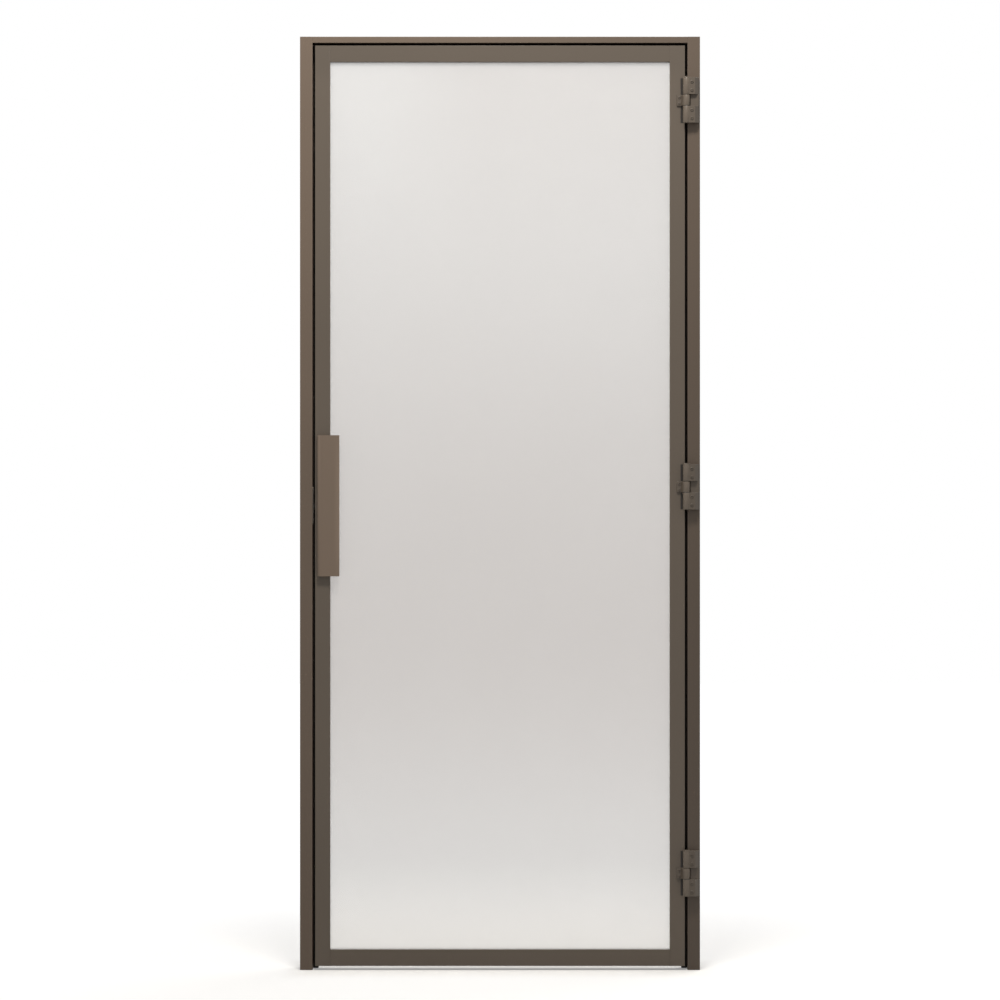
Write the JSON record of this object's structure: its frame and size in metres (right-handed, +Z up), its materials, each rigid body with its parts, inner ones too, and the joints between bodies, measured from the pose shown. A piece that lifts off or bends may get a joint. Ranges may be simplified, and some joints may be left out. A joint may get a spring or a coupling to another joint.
{
  "type": "glass door",
  "caption": "Single glazed door leaf in a slim bronze metal frame, hung on barrel hinges, with a plate pull and a roller catch that holds it shut.",
  "frame": {"origin": "on the floor, centred on the frame's width, at the middle of the leaf's thickness", "axes": "+X to the right seen from the front, where the hinges are; -Y is the front with the pull, towards which the leaf opens; +Z up"},
  "size_m": [0.9, 0.08, 2.1],
  "materials": {
    "frame_coat": "satin bronze powder coat",
    "leaf_coat": "satin bronze powder coat",
    "bead_coat": "satin bronze powder coat",
    "hinge_coat": "satin bronze powder coat",
    "pull_coat": "satin bronze powder coat, slightly lighter",
    "pane": "pale satin glass, polished faces",
    "seal_rubber": "matt black",
    "gasket_rubber": "matt grey",
    "steel": "satin stainless",
    "inner_aluminium": "mill finish",
    "nylon": "moulded"
  },
  "bodies": {
    "frame": {"lock_jamb": "frame_coat", "hinge_jamb": "frame_coat", "frame_head": "frame_coat", "head_keys": "inner_aluminium", "head_seal": "seal_rubber", "lock_jamb_seal": "seal_rubber", "hinge_jamb_seal": "seal_rubber", "jamb_backing_strips": "inner_aluminium", "strike_plate": "steel", "bottom_hinge_blocks": "hinge_coat", "middle_hinge_blocks": "hinge_coat", "top_hinge_blocks": "hinge_coat", "bottom_hinge_pin": "hinge_coat", "middle_hinge_pin": "hinge_coat", "top_hinge_pin": "hinge_coat"},
    "leaf": {"lock_stile": "leaf_coat", "hinge_stile": "leaf_coat", "top_rail": "leaf_coat", "bottom_rail": "leaf_coat", "top_bead": "bead_coat", "bottom_bead": "bead_coat", "lock_bead": "bead_coat", "hinge_bead": "bead_coat", "corner_keys": "inner_aluminium", "stile_end_plugs": "nylon", "glass_pane": "pane", "front_gasket": "gasket_rubber", "rear_gasket": "gasket_rubber", "setting_blocks": "nylon", "stile_backing_plates": "inner_aluminium", "hinge_bushes": "nylon", "pull_handle": "pull_coat", "pull_bolts": "steel", "catch_face": "steel", "catch_case": "steel", "catch_spring": "steel", "bottom_hinge_wing": "hinge_coat", "middle_hinge_wing": "hinge_coat", "top_hinge_wing": "hinge_coat"},
    "catch_carrier": {"catch_carrier": "steel", "catch_axle": "steel"},
    "catch_roller": {"catch_roller": "nylon"}
  },
  "joints": [
    {"name": "leaf_swing", "type": "hinge", "parent": "frame", "child": "leaf", "pos_m": [0.419, -0.032, 0], "axis": [0, 0, 1], "range_deg": [0, 170]},
    {"name": "catch_press", "type": "slide", "parent": "leaf", "child": "catch_carrier", "axis": [1, 0, 0], "range_m": [0, 0.004], "stiffness_N_per_m": 1500, "springref_m": -0.004, "deforming": ["catch_spring"]},
    {"name": "roller_spin", "type": "hinge", "parent": "catch_carrier", "child": "catch_roller", "pos_m": [-0.417, 0, 1.0445], "axis": [0, 0, 1], "continuous": true}
  ]
}
